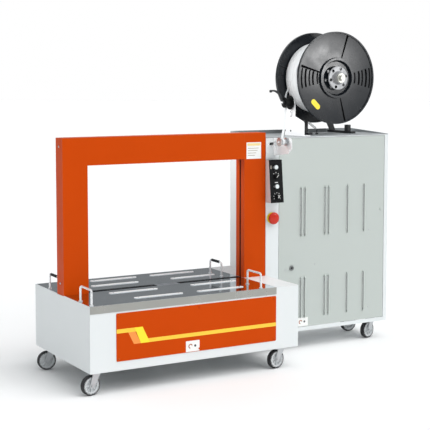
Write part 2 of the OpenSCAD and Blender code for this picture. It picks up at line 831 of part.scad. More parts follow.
module strap_roll() {
    in_place() color("white") on_reel(reel_rear - flange_width - 2) rotate_extrude()
        translate([core_radius + 0.5, 0]) square([roll_radius - core_radius - 0.5, 182]);
}

module reel_lock_nut() {
    bore = bearing_radius + running_play;
    in_place() color("silver") on_reel(reel_front + flange_width) difference() {
        union() {
            // Boss behind the hub disc, the disc, and the cone in front of it.
            rotate_extrude() polygon([[bore - 2, 4.5], [40, 4.5], [40, 22.5], [62, 22.5], [62, 27],
                [59, 29], [36, 29], [28, 46], [0, 46], [0, 34], [bore - 2, 34]]);
            translate([0, 0, 45]) cylinder(r = 25, h = 12);
            translate([0, 0, 56]) cylinder(r = 16, h = 16, $fn = 6);
        }
        translate([0, 0, -1]) cylinder(r = bore, h = 35);
        for (a = [0:60:300]) rotate([0, 0, a + 12]) translate([49, 0, 20]) cylinder(r = 8, h = 12);
    }
}

module reel_stand() {
    foot = cabinet_high;
    rail_y = [412, 634];
    plate_y = 598;
    legs = [[1438, 1466], [1718, 1746]];
    head = reel_z + 10;
    left_edge = [[legs[0][0], foot + 11], [legs[0][0] + 6, foot + 11],
                 [reel_x - 40, head], [reel_x - 46, head]];
    right_edge = [[legs[1][1] - 6, foot + 11], [legs[1][1], foot + 11],
                  [reel_x + 46, head], [reel_x + 40, head]];
    in_place() color("#1c1d20") union() {
        // Two rails stand on the cabinet, each with a lug for the brake.
        for (leg = legs) {
            span([leg[0], rail_y[0], foot], [leg[1], rail_y[1], foot + 12]);
            span([leg[0] + 4, 450, foot + 11], [leg[1] - 4, 480, foot + (leg[0] < reel_x ? 76 : 46)]);
        }
        span([legs[0][0] - 36, 440, foot], [legs[0][0] + 1, 492, foot + 8]);
        // Two legs behind the reel that meet at the shaft, with folded edges.
        difference() {
            translate([0, plate_y + 8, 0]) rotate([90, 0, 0]) linear_extrude(8)
                polygon([[legs[0][0], foot + 11], [legs[1][1], foot + 11],
                         [reel_x + 46, head], [reel_x - 46, head]]);
            translate([0, plate_y + 9, 0]) rotate([90, 0, 0]) linear_extrude(10)
                polygon([[legs[0][1], foot], [legs[1][0], foot],
                         [reel_x + 16, reel_z - 70], [reel_x - 16, reel_z - 70]]);
        }
        rod_y(46, plate_y, plate_y + 8, reel_x, head);
        for (edge = [left_edge, right_edge])
            translate([0, rail_y[1], 0]) rotate([90, 0, 0]) linear_extrude(rail_y[1] - plate_y)
                polygon(edge);
        // Boss and fixed shaft.
        rod_y(34, plate_y - 12, rail_y[1], reel_x, reel_z);
        rod_y(shaft_radius, reel_front + 14, rail_y[1], reel_x, reel_z);
    }
}

// ---- Strap guides ----

module upper_guide_bracket() {
    x = upper_plate_x;
    top = cabinet_high;
    in_place() color("white") union() {
        translate([x, 0, 0]) rotate([90, 0, 90]) linear_extrude(3)
            polygon([[300, top], [480, top], [480, 1262], [442, 1288], [398, 1288], [385, 1262],
                     [385, 1204], [310, 1180], [300, 1172]]);
        span([x + 2, 300, top], [x + 40, 480, top + 3]);
        rod_x(24, x, x + 3, upper_roller[1], upper_roller[2]);
        rod_x(upper_pin_radius, upper_roller[0] - 22, x + 1, upper_roller[1], upper_roller[2]);
        rod_x(15, x - 10, x + 1, 425, 1216);
    }
}

module guide_roller_upper() {
    r = upper_pin_radius + running_play;
    end = upper_hub_end - upper_roller[0] + 3;
    in_place() color("#18191b") translate([upper_roller[0] - 3, upper_roller[1], upper_roller[2]])
        rotate([0, 90, 0]) rotate_extrude()
        polygon([[r, 0], [27.5, 0], [27.5, 3], [upper_hub_radius, 3], [upper_hub_radius, end],
            [37, end], [37, end + 4], [r, end + 4]]);
}

module dancer_arm() {
    // Curved lever on the upper roller's pin: an arc that rises to the back, with a round tip.
    x0 = upper_roller[0] - 14;
    centre = [94.9, -44.9];
    bend = 105;
    width = 9;
    start = 76.2;
    sweep = 76;
    reach = 2 * bend;
    in_place() color("#141517") translate([x0, upper_roller[1], upper_roller[2]]) rotate([90, 0, 90])
        difference() {
            union() {
                cylinder(r = 12, h = 9);
                intersection() {
                    translate([centre[0], centre[1], 0]) difference() {
                        cylinder(r = bend + width / 2, h = 8);
                        translate([0, 0, -1]) cylinder(r = bend - width / 2, h = 10);
                    }
                    translate([centre[0], centre[1], -2]) linear_extrude(12)
                        polygon([[0, 0], [cos(start + sweep) * reach, sin(start + sweep) * reach],
                            [cos(start) * reach, sin(start) * reach]]);
                }
                translate([centre[0] + cos(start) * bend, centre[1] + sin(start) * bend, 0])
                    cylinder(r = 7, h = 9);
            }
            translate([0, 0, -1]) cylinder(r = upper_pin_radius + running_play, h = 12);
        }
}

module lower_guide_bracket() {
    x = lower_plate_x;
    in_place() color("gainsboro") difference() {
        union() {
            translate([x, 0, 0]) rotate([90, 0, 90]) linear_extrude(3)
                polygon([[cabinet_front, 1100], [cabinet_front, 1012], [282, 1012], [190, 1026], [158, 1048],
                         [158, 1096], [170, 1104], [220, 1104]]);
            span([x - 14, cabinet_front - 3, 1082], [x + 3, cabinet_front, 1100]);
            span([x - 14, cabinet_front - 3, 1012], [x + 3, cabinet_front, 1058]);
            rod_x(lower_pin_radius, lower_roller[0] - 10, x + 1, lower_roller[1], lower_roller[2]);
            rod_x(8, lower_hub_end + 4, x + 1, lower_roller[1], lower_roller[2]);
            for (place = [[166, 1087], [178, 1043]]) rod_x(6.5, x - 5, x + 1, place[0], place[1]);
        }
        for (place = [[166, 1087], [178, 1043]]) rod_x(2.6, x - 8, x + 8, place[0], place[1]);
    }
}

module guide_roller_lower() {
    r = lower_pin_radius + running_play;
    end = lower_hub_end - lower_roller[0] + 3;
    in_place() color("darkgray") translate([lower_roller[0] - 3, lower_roller[1], lower_roller[2]])
        rotate([0, 90, 0]) rotate_extrude()
        polygon([[r, 2], [11, 2], [14, 0], [22, 0], [22, 3], [lower_hub_radius, 3],
            [lower_hub_radius, end], [22, end], [22, end + 3], [r, end + 3]]);
}

// The strap as a flat ribbon swept along its stations.
function strap_side(i) = [cos(strap_stations[i][3]), sin(strap_stations[i][3]), 0];
function strap_place(i) = [strap_stations[i][0], strap_stations[i][1], strap_stations[i][2]];
function strap_travel(i) = strap_place(min(i + 1, len(strap_stations) - 1)) - strap_place(max(i - 1, 0));
function unit(v) = v / norm(v);
function strap_face(i) = unit(cross(strap_side(i), unit(strap_travel(i))));
function strap_edge(i) = unit(cross(unit(strap_travel(i)), strap_face(i)));
function strap_ring(i) = [for (corner = [[-1, -1], [1, -1], [1, 1], [-1, 1]])
    strap_place(i) + strap_edge(i) * corner[0] * strap_width / 2
        + strap_face(i) * corner[1] * strap_thickness / 2];

module strap_run() {
    count = len(strap_stations);
    points = [for (i = [0:count - 1]) each strap_ring(i)];
    last = 4 * count - 4;
    // Each side of a step is two triangles, because a turned step isn't flat. The two wide
    // sides are split along the same diagonal, so that they stay clear of each other.
    sides = [for (i = [0:count - 2], k = [0:3], half = [0:1])
        let (here = 4 * i, next = (k + 1) % 4, back = here + 4 + k, ahead = here + 4 + next)
        k == 2
            ? (half == 0 ? [here + k, here + next, back] : [here + next, ahead, back])
            : (half == 0 ? [here + k, here + next, ahead] : [here + k, ahead, back])];
    ends = [[2, 1, 0], [3, 2, 0], [last, last + 1, last + 2], [last, last + 2, last + 3]];
    in_place() color("white") polyhedron(points, concat(sides, ends), convexity = 6);
}

// ---- Table plates ----

module table_front_plate() {
    in_place() color("slategray") difference() {
        span([plate_left, sheet + 0.3, plate_bottom], [plate_right, slot_front, table_top]);
        span([0, arch_front - 3, plate_bottom - 1], [left_inner_x + 3, slot_front + 1, table_top + 1]);
        span([head_window[0], head_window[1], plate_bottom - 1],
             [head_window[2], slot_front + 1, table_top + 1]);
    }
}

module table_rear_plate() {
    in_place() color("slategray") difference() {
        span([plate_left, slot_rear, plate_bottom], [plate_right, base_depth - 2.3, table_top]);
        span([0, slot_rear - 1, plate_bottom - 1], [left_inner_x + 3, arch_rear + 3, table_top + 1]);
        span([head_window[0], slot_rear - 1, plate_bottom - 1],
             [head_window[2], head_window[3], table_top + 1]);
    }
}

// Low strip with round ends, centred on x and y.
module glide_strip(x, y) {
    length = 253;
    width = 22;
    height = 2.5;
    translate([x, y, table_top]) union() {
        translate([-length / 2 + width / 2, -width / 2, 0]) cube([length - width, width, height]);
        for (side = [-1, 1])
            translate([side * (length - width) / 2, 0, 0]) cylinder(r = width / 2, h = height);
    }
}

module front_glide_strips() {
    in_place() color("white") for (side = [-1, 1]) {
        glide_strip(strip_middle + side * 165, 90);
        glide_strip(strip_middle + side * 217, 250);
    }
}

module rear_glide_strips() {
    in_place() color("white") for (side = [-1, 1]) {
        glide_strip(strip_middle + side * 217, 460);
        glide_strip(strip_middle + side * 165, 590);
    }
}

// U shaped handle of round bar standing on the table, with round bends and foot flanges.
module u_handle(x, y0, y1) {
    bar_radius = 5;
    bend = 14;
    top = table_top + 71;
    for (y = [y0, y1]) {
        rod_z(bar_radius, table_top, top - bend, x, y);
        rod_z(9, table_top, table_top + 4, x, y);
    }
    rod_y(bar_radius, y0 + bend, y1 - bend, x, top);
    for (side = [[y0 + bend, 90], [y1 - bend, 0]])
        translate([x, side[0], top - bend]) rotate([90, 0, 90]) rotate([0, 0, side[1]])
            rotate_extrude(angle = 90) translate([bend, 0]) circle(r = bar_radius);
}

module front_handles() {
    in_place() color("silver") for (x = handle_x) union() u_handle(x, 16, 140);
}

module rear_handles() {
    in_place() color("silver") for (x = handle_x) union() u_handle(x, 394, 510);
}

// ---- Casters ----

// Local origin on the swivel axis at floor level, with the fork trailing to -X.
module at_caster(i) {
    translate([casters[i][0], casters[i][1], -ground]) rotate([0, 0, casters[i][2]]) children();
}

module caster_plates() {
    half = 32;
    in_place() color("silver") for (place = casters) translate([place[0], place[1], -ground]) difference() {
        union() {
            translate([-half, -half, caster_height - 3]) cube([2 * half, 2 * half, 3]);
            translate([0, 0, caster_height - 8]) cylinder(r = 23, h = 5.5);
            translate([0, 0, caster_height - 21]) cylinder(r = king_pin_radius, h = 14);
        }
        for (x = [-24, 24], y = [-24, 24]) translate([x, y, caster_height - 5]) cylinder(r = 3.2, h = 8);
    }
}

module caster_fork(i) {
    crown = caster_height - 8.3;
    inner = wheel_width / 2 + 1.5;
    outer = inner + 3;
    in_place() color("gray") at_caster(i) difference() {
        union() {
            translate([0, 0, crown - 5]) cylinder(r = 25, h = 5);
            translate([0, 0, crown - 8.5]) cylinder(r = 20, h = 4);
            for (side = [-outer, inner])
                translate([0, side + 3, 0]) rotate([90, 0, 0]) linear_extrude(3) union() {
                    polygon([[-26, crown - 2], [14, crown - 2], [10, crown - 14], [-20, 42], [-30, 35],
                             [-43, 38], [-46, wheel_radius]]);
                    translate([-trail, wheel_radius]) circle(r = 11);
                }
            translate([-26, -outer, crown - 5]) cube([38, 2 * outer, 3]);
            translate([-trail, 0, wheel_radius]) rotate([90, 0, 0])
                cylinder(r = axle_radius, h = 2 * outer + 8, center = true);
        }
        translate([0, 0, crown - 20]) cylinder(r = king_pin_radius + running_play, h = 30);
    }
}

module caster_wheel(i) {
    half = wheel_width / 2;
    r = wheel_radius;
    n = tread_round;
    in_place() color("dimgray") at_caster(i) translate([-trail, 0, wheel_radius]) rotate([90, 0, 0])
    union() {
        // Tyre with round shoulders.
        rotate_extrude() union() {
            translate([r - 12, -half]) square([12 - n, 2 * half]);
            translate([r - 12, -half + n]) square([12, 2 * half - 2 * n]);
            for (side = [-1, 1]) translate([r - n, side * (half - n)]) circle(r = n);
        }
        // Rim, web with its ribs, and hub.
        rotate_extrude() translate([r - 16, -half + 2]) square([4.5, 2 * half - 4]);
        rotate_extrude() translate([10, -3]) square([r - 25, 6]);
        for (a = [0:45:315])
            rotate([0, 0, a]) translate([9, -1.5, -half + 3]) cube([r - 24, 3, 2 * half - 6]);
        rotate_extrude() translate([axle_radius + running_play, -half - 1])
            square([12 - axle_radius - running_play, 2 * half + 2]);
    }
}

base_frame();
base_left_panel();
base_right_cover();
base_front_sheet();
base_rear_panel();
front_cover();
front_edge_strip();
cover_screws();
arch_left_post();
arch_right_post();
arch_top_beam();
arch_track();
strapping_head();
head_cam_shaft();
cabinet_shell();
cabinet_top();
electrical_panel();
control_station();
reel_stand();
upper_guide_bracket();
lower_guide_bracket();
caster_plates();
cable_gland();
strap_run();
table_front_plate();
table_rear_plate();
front_glide_strips();
rear_glide_strips();
front_handles();
rear_handles();
cabinet_door();
door_lock();
reel_front_flange();
reel_rear_flange();
strap_roll();
reel_lock_nut();
dancer_arm();
guide_roller_upper();
guide_roller_lower();
start_button();
stop_button();
mode_knob();
tension_knob();
estop_button();
for (i = caster_numbers) caster_fork(i - 1);
for (i = caster_numbers) caster_wheel(i - 1);
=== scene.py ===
import json
import math
import random

import bmesh
import bpy
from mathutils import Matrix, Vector


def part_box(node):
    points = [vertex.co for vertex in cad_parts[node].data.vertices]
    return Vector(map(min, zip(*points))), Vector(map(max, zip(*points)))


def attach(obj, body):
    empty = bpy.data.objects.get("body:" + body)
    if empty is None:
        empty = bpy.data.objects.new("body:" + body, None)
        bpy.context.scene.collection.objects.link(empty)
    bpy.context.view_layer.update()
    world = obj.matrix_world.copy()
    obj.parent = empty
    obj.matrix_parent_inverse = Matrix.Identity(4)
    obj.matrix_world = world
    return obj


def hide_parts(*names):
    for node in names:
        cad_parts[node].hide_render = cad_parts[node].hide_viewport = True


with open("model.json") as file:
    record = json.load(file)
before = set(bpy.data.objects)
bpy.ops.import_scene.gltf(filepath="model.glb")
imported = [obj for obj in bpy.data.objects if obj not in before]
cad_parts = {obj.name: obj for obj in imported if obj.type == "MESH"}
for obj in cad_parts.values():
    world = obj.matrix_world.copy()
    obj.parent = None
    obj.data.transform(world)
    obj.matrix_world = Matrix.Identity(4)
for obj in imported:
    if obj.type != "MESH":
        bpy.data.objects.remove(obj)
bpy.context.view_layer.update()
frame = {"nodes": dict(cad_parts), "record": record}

# The machine's own millimetres: X along the base unit, Y to the back, Z up, measured
# from the base unit's front left corner, with the table top at Z = 398. at() turns them into
# the row frame, on_machine() turns a place of the row frame into them.
MM = 0.001
TABLE_TOP = 398
CABINET_FRONT = 300
CABINET_BACK = 655
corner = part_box("base_front_sheet")[0]
corner.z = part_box("table_front_plate")[1].z - TABLE_TOP * MM


def at(x, y, z):
    return corner + Vector((x, y, z)) * MM


def on_machine(place):
    return (place - corner) / MM


def middle(node):
    low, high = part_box(node)
    return (low + high) / 2


# ---- Camera, floor and light ----

scene = bpy.context.scene
scene.view_settings.view_transform = "Standard"


def make_camera():
    """The camera stands at eye height to the front left, as the photographer did."""
    focal_in_pixels = 1156.4
    yaw = 0.51915
    pitch = 0.0855
    data = bpy.data.cameras.new("camera")
    data.sensor_width = 36
    data.lens = 36 * focal_in_pixels / 430
    data.shift_y = -40 / 430
    data.clip_start = 0.1
    data.clip_end = 200
    camera = bpy.data.objects.new("camera", data)
    camera.location = at(-2013, -4636, 1413)
    camera.rotation_euler = (math.pi / 2 - pitch, 0, -yaw)
    scene.collection.objects.link(camera)
    scene.camera = camera


def area_light(name, place, target, size, power, colour=(1, 1, 1), only_gloss=False):
    data = bpy.data.lights.new(name, "AREA")
    data.shape = "RECTANGLE"
    data.size, data.size_y = size
    data.energy = power
    data.color = colour
    light = bpy.data.objects.new(name, data)
    light.location = place
    light.rotation_euler = (target - place).to_track_quat("-Z", "Y").to_euler()
    light.visible_camera = False
    light.visible_diffuse = not only_gloss
    scene.collection.objects.link(light)
    return light


def soft_sun(name, towards, strength, angle):
    """A wide sun: it lights the whole floor evenly, so that the floor has no horizon."""
    data = bpy.data.lights.new(name, "SUN")
    data.energy = strength
    data.angle = math.radians(angle)
    light = bpy.data.objects.new(name, data)
    light.rotation_euler = Vector(towards).to_track_quat("Z", "Y").to_euler()
    light.visible_glossy = False
    scene.collection.objects.link(light)


def make_world():
    """White surroundings, with a grey band low down that only reflections see."""
    world = bpy.data.worlds.new("studio")
    scene.world = world
    world.use_nodes = True
    tree = world.node_tree
    tree.nodes.clear()
    add = tree.nodes.new
    out = add("ShaderNodeOutputWorld")
    path = add("ShaderNodeLightPath")
    place = add("ShaderNodeTexCoord")
    split = add("ShaderNodeSeparateXYZ")
    ramp = add("ShaderNodeValToRGB")
    tree.links.new(place.outputs["Generated"], split.inputs[0])
    tree.links.new(split.outputs["Z"], ramp.inputs[0])
    stops = [(0.0, 0.30), (0.05, 0.20), (0.20, 0.24), (0.42, 0.9), (1.0, 0.75)]
    ramp.color_ramp.elements[0].position = stops[0][0]
    ramp.color_ramp.elements[1].position = stops[-1][0]
    for position, _ in stops[1:-1]:
        ramp.color_ramp.elements.new(position)
    for element, (_, level) in zip(ramp.color_ramp.elements, stops):
        element.color = (level * 0.97, level * 0.985, level, 1)
    soft = add("ShaderNodeBackground")
    soft.inputs["Color"].default_value = (0.955, 0.985, 1.0, 1)
    soft.inputs["Strength"].default_value = 0.64
    gloss = add("ShaderNodeBackground")
    tree.links.new(ramp.outputs["Color"], gloss.inputs["Color"])
    seen = add("ShaderNodeBackground")
    seen.inputs["Color"].default_value = (1, 1, 1, 1)
    seen.inputs["Strength"].default_value = 1.0
    mix_gloss = add("ShaderNodeMixShader")
    mix_seen = add("ShaderNodeMixShader")
    tree.links.new(path.outputs["Is Glossy Ray"], mix_gloss.inputs[0])
    tree.links.new(soft.outputs[0], mix_gloss.inputs[1])
    tree.links.new(gloss.outputs[0], mix_gloss.inputs[2])
    tree.links.new(path.outputs["Is Camera Ray"], mix_seen.inputs[0])
    tree.links.new(mix_gloss.outputs[0], mix_seen.inputs[1])
    tree.links.new(seen.outputs[0], mix_seen.inputs[2])
    tree.links.new(mix_seen.outputs[0], out.inputs["Surface"])


def make_floor():
    bm = bmesh.new()
    bmesh.ops.create_circle(bm, cap_ends=True, radius=60, segments=96)
    mesh = bpy.data.meshes.new("floor")
    bm.to_mesh(mesh)
    bm.free()
    floor = bpy.data.objects.new("floor", mesh)
    floor.location = (0, 0, -0.0005)
    scene.collection.objects.link(floor)
    material = bpy.data.materials.new("floor_paper")
    material.use_nodes = True
    shader = material.node_tree.nodes["Principled BSDF"]
    shader.inputs["Base Color"].default_value = (0.93, 0.93, 0.93, 1)
    shader.inputs["Roughness"].default_value = 0.9
    shader.inputs["Specular IOR Level"].default_value = 0.1
    mesh.materials.append(material)


make_camera()
make_world()
make_floor()
reel_centre = middle("reel_front_flange")
soft_sun("sun", (0.35, -0.50, 0.79), 2.0, 60)
area_light("reel_sheen", reel_centre + Vector((0.86, -1.35, 0.11)), reel_centre, (0.16, 0.16), 5.5,
           only_gloss=True)
fill = area_light("left_fill", at(300, 900, 1600), at(1300, 430, 1200), (0.8, 0.8), 2.4)
fill.data.spread = math.radians(75)
fill.visible_glossy = False


# ---- Materials ----

def finish(name, colour, roughness, metallic=0.0, specular=0.5, tone=0.03, tone_size=0.22,
           spread=0.06, grain=0.05, grain_size=0.0012, stretch=None, coat=0.0, edge=0.0008,
           wear=None):
    """A Principled material whose colour, roughness and bump vary over the surface.

    tone: share by which the colour changes over tone_size metres. spread: change of the
    roughness. grain: strength of the fine bump of grain_size metres. stretch: scale of the
    grain along X, Y and Z for brushed or drawn metal. edge: radius that rounds the shading
    of edges. wear: colour that shows faintly where edges are rubbed.
    """
    material = bpy.data.materials.new(name)
    material.use_nodes = True
    tree = material.node_tree
    shader = tree.nodes["Principled BSDF"]
    add, link = tree.nodes.new, tree.links.new
    shader.inputs["Metallic"].default_value = metallic
    shader.inputs["Specular IOR Level"].default_value = specular
    shader.inputs["Coat Weight"].default_value = coat
    shader.inputs["Coat Roughness"].default_value = 0.12
    place = add("ShaderNodeTexCoord")

    broad = add("ShaderNodeTexNoise")
    broad.inputs["Scale"].default_value = 1 / tone_size
    broad.inputs["Detail"].default_value = 4
    link(place.outputs["Object"], broad.inputs["Vector"])
    blend = add("ShaderNodeMix")
    blend.data_type = "RGBA"
    for socket, factor in (("A", 1 - tone), ("B", 1 + tone)):
        value = [min(1.0, c * factor) for c in colour]
        next(i for i in blend.inputs if i.name == socket and i.type == "RGBA").default_value = (*value, 1)
    link(broad.outputs["Fac"], blend.inputs["Factor"])
    colour_out = next(o for o in blend.outputs if o.type == "RGBA")

    patch = add("ShaderNodeTexNoise")
    patch.inputs["Scale"].default_value = 14
    patch.inputs["Detail"].default_value = 6
    link(place.outputs["Object"], patch.inputs["Vector"])
    level = add("ShaderNodeMapRange")
    level.inputs["From Min"].default_value = 0.3
    level.inputs["From Max"].default_value = 0.7
    level.inputs["To Min"].default_value = max(0.02, roughness - spread)
    level.inputs["To Max"].default_value = min(1.0, roughness + spread)
    link(patch.outputs["Fac"], level.inputs["Value"])
    link(level.outputs["Result"], shader.inputs["Roughness"])

    fine = add("ShaderNodeTexNoise")
    fine.inputs["Scale"].default_value = 1 / grain_size if stretch is None else 1
    fine.inputs["Detail"].default_value = 3
    if stretch is None:
        link(place.outputs["Object"], fine.inputs["Vector"])
    else:
        drawn = add("ShaderNodeMapping")
        drawn.inputs["Scale"].default_value = stretch
        link(place.outputs["Object"], drawn.inputs["Vector"])
        link(drawn.outputs["Vector"], fine.inputs["Vector"])
    rounded = add("ShaderNodeBevel")
    rounded.samples = 4
    rounded.inputs["Radius"].default_value = edge
    bump = add("ShaderNodeBump")
    bump.inputs["Strength"].default_value = grain
    bump.inputs["Distance"].default_value = 0.0004
    link(fine.outputs["Fac"], bump.inputs["Height"])
    link(rounded.outputs["Normal"], bump.inputs["Normal"])
    link(bump.outputs["Normal"], shader.inputs["Normal"])

    if wear is None:
        link(colour_out, shader.inputs["Base Color"])
        return material
    # Rubbed edges: where the rounded normal leaves the flat one, broken up by noise.
    wide = add("ShaderNodeBevel")
    wide.samples = 4
    wide.inputs["Radius"].default_value = 0.0025
    flat = add("ShaderNodeNewGeometry")
    dot = add("ShaderNodeVectorMath")
    dot.operation = "DOT_PRODUCT"
    link(wide.outputs["Normal"], dot.inputs[0])
    link(flat.outputs["Normal"], dot.inputs[1])
    rub = add("ShaderNodeMapRange")
    rub.inputs["From Min"].default_value = 0.97
    rub.inputs["From Max"].default_value = 0.80
    link(dot.outputs["Value"], rub.inputs["Value"])
    spots = add("ShaderNodeMapRange")
    spots.inputs["From Min"].default_value = 0.48
    spots.inputs["From Max"].default_value = 0.62
    link(patch.outputs["Fac"], spots.inputs["Value"])
    both = add("ShaderNodeMath")
    both.operation = "MULTIPLY"
    link(rub.outputs["Result"], both.inputs[0])
    link(spots.outputs["Result"], both.inputs[1])
    rubbed = add("ShaderNodeMix")
    rubbed.data_type = "RGBA"
    a, b = [i for i in rubbed.inputs if i.type == "RGBA"]
    b.default_value = (*wear, 1)
    link(both.outputs["Value"], rubbed.inputs["Factor"])
    link(colour_out, a)
    link(next(o for o in rubbed.outputs if o.type == "RGBA"), shader.inputs["Base Color"])
    return material


WHITE = (0.75, 0.782, 0.788)
ORANGE = (0.57, 0.060, 0.0010)
materials = {
    "white_paint": finish("white_paint", WHITE, 0.42, specular=0.35, grain=0.10, tone=0.012,
                          wear=(0.62, 0.62, 0.60)),
    "orange_paint": finish("orange_paint", ORANGE, 0.36, specular=0.06, grain=0.08, tone=0.04,
                           wear=(0.66, 0.18, 0.06)),
    "cabinet_grey": finish("cabinet_grey", (0.51, 0.55, 0.525), 0.45, specular=0.3, grain=0.12,
                           tone=0.02, wear=(0.45, 0.46, 0.44)),
    "stainless": finish("stainless", (0.41, 0.41, 0.385), 0.30, metallic=0.9, tone=0.06,
                        grain=0.12, stretch=(60, 900, 2600)),
    "table_steel": finish("table_steel", (0.62, 0.69, 0.74), 0.09, metallic=1.0, tone=0.05,
                          spread=0.03, grain=0.02, stretch=(40, 1500, 400)),
    "chrome": finish("chrome", (0.88, 0.89, 0.90), 0.26, metallic=0.6, tone=0.02, spread=0.05,
                     grain=0.02),
    "zinc_steel": finish("zinc_steel", (0.55, 0.565, 0.58), 0.36, metallic=0.85, tone=0.12,
                         tone_size=0.02, spread=0.10, grain=0.10),
    "black_steel": finish("black_steel", (0.013, 0.014, 0.016), 0.38, specular=0.5, tone=0.2,
                          grain=0.10, wear=(0.10, 0.10, 0.11)),
    "black_plastic": finish("black_plastic", (0.007, 0.0075, 0.008), 0.5, specular=0.15, tone=0.15,
                            grain=0.30, grain_size=0.0007),
    "reel_plastic": finish("reel_plastic", (0.009, 0.0115, 0.015), 0.26, specular=0.4, tone=0.15,
                           tone_size=0.12, spread=0.04, grain=0.08, wear=(0.10, 0.105, 0.11)),
    # Dark red, the orange of the arch darkened: painted shade for the inside of the strap channel.
    "track_plastic": finish("track_plastic", (0.13, 0.016, 0.005), 0.5, specular=0.2, tone=0.1,
                            grain=0.1),
    "strap_plastic": finish("strap_plastic", (0.78, 0.795, 0.80), 0.36, specular=0.5, tone=0.03,
                            tone_size=0.03, grain=0.35, grain_size=0.0018),
    "glide_plastic": finish("glide_plastic", (0.86, 0.865, 0.87), 0.4, tone=0.03, grain=0.06),
    "button_white": finish("button_white", (0.80, 0.86, 0.86), 0.25, tone=0.02, grain=0.02,
                           coat=0.4),
    "red_plastic": finish("red_plastic", (0.55, 0.022, 0.006), 0.24, specular=0.35, tone=0.05,
                          grain=0.02, coat=0.12),
    "tyre_rubber": finish("tyre_rubber", (0.030, 0.030, 0.032), 0.62, specular=0.3, tone=0.25,
                          tone_size=0.03, grain=0.35),
    "head_steel": finish("head_steel", (0.28, 0.30, 0.33), 0.35, metallic=0.8, tone=0.1,
                         tone_size=0.05, grain=0.12),
    "panel_parts": finish("panel_parts", (0.52, 0.54, 0.55), 0.5, tone=0.06, grain=0.1),
}
extra = {
    "vinyl_yellow": finish("vinyl_yellow", (0.95, 0.60, 0.04), 0.35, tone=0.02, grain=0.02),
    "vinyl_bright": finish("vinyl_bright", (0.98, 0.78, 0.02), 0.35, tone=0.02, grain=0.02),
    "vinyl_light_orange": finish("vinyl_light_orange", (0.93, 0.30, 0.05), 0.35, tone=0.03,
                                 grain=0.02),
    "label_white": finish("label_white", (0.88, 0.88, 0.86), 0.4, tone=0.02, grain=0.02),
    "label_cream": finish("label_cream", (0.90, 0.70, 0.32), 0.4, tone=0.03, grain=0.02),
    "label_grey": finish("label_grey", (0.42, 0.43, 0.44), 0.4, tone=0.05, grain=0.02),
    "label_brown": finish("label_brown", (0.42, 0.16, 0.10), 0.4, tone=0.05, grain=0.02),
    "label_dark": finish("label_dark", (0.05, 0.05, 0.06), 0.4, tone=0.05, grain=0.02),
    "mark_white": finish("mark_white", (0.82, 0.82, 0.80), 0.4, tone=0.03, grain=0.02),
    "mark_beige": finish("mark_beige", (0.42, 0.38, 0.32), 0.5, tone=0.05, grain=0.02),
    "hub_grey": finish("hub_grey", (0.66, 0.68, 0.69), 0.42, metallic=0.15, tone=0.1,
                       tone_size=0.02, grain=0.1),
    "motor_paint": finish("motor_paint", (0.05, 0.10, 0.16), 0.4, tone=0.08, grain=0.15),
    "steel_bright": finish("steel_bright", (0.62, 0.63, 0.64), 0.22, metallic=1.0, tone=0.06,
                           grain=0.06),
    "duct_grey": finish("duct_grey", (0.40, 0.42, 0.44), 0.5, tone=0.05, grain=0.1),
    "terminal_green": finish("terminal_green", (0.10, 0.30, 0.14), 0.45, tone=0.08, grain=0.05),
    "lid_grey": finish("lid_grey", (0.33, 0.35, 0.36), 0.45, specular=0.3, tone=0.03, grain=0.1,
                       wear=(0.35, 0.36, 0.36)),
    # painted_shade_black: painted shade, black put on the floors and walls of grooves, holes and slots
    "painted_shade_black": finish("painted_shade_black", (0.0015, 0.0015, 0.002), 0.8, specular=0.1, tone=0.1,
                           grain=0.1),
    "lock_grey": finish("lock_grey", (0.20, 0.21, 0.21), 0.35, metallic=0.6, tone=0.1,
                        tone_size=0.01, grain=0.05),
    "filter_mat": finish("filter_mat", (0.80, 0.82, 0.81), 0.9, specular=0.1, tone=0.2,
                         tone_size=0.004, grain=0.6, grain_size=0.003),
    # Whiter than white_paint: painted light, so that the guide brackets' left faces, which the sun does
    # not reach, still look white.
    "bracket_white_painted_light": finish("bracket_white_painted_light", (0.96, 0.965, 0.97), 0.4, specular=0.35, tone=0.012,
                            grain=0.08),
    "hub_plate": finish("hub_plate", (0.34, 0.345, 0.355), 0.42, metallic=0.35, tone=0.2,
                        tone_size=0.02, grain=0.08),
    "nut_steel": finish("nut_steel", (0.50, 0.50, 0.46), 0.36, metallic=0.4, tone=0.15,
                        tone_size=0.01, grain=0.05),
    "screw_dark": finish("screw_dark", (0.10, 0.105, 0.11), 0.35, metallic=0.7, tone=0.1,
                         grain=0.05),
}

for part in frame["record"]["subparts"]:
    node = frame["nodes"][part["node"]]
    node.data.materials.clear()
    node.data.materials.append(materials[part["material_slot"]])


def paint_faces(node, material, test):
    """Gives the faces of a CAD node whose centre passes the test another material."""
    mesh = frame["nodes"][node].data
    mesh.materials.append(material)
    index = len(mesh.materials) - 1
    for face in mesh.polygons:
        if test(on_machine(face.center)):
            face.material_index = index


# ---- Mesh helpers ----

def new_piece(name, bm, body, material, smooth=35):
    bmesh.ops.recalc_face_normals(bm, faces=bm.faces)
    mesh = bpy.data.meshes.new(name)
    bm.to_mesh(mesh)
    bm.free()
    if smooth:
        for face in mesh.polygons:
            face.use_smooth = True
        mesh.set_sharp_from_angle(angle=math.radians(smooth))
    mesh.materials.append(material)
    piece = bpy.data.objects.new(name, mesh)
    scene.collection.objects.link(piece)
    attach(piece, body)
    return piece


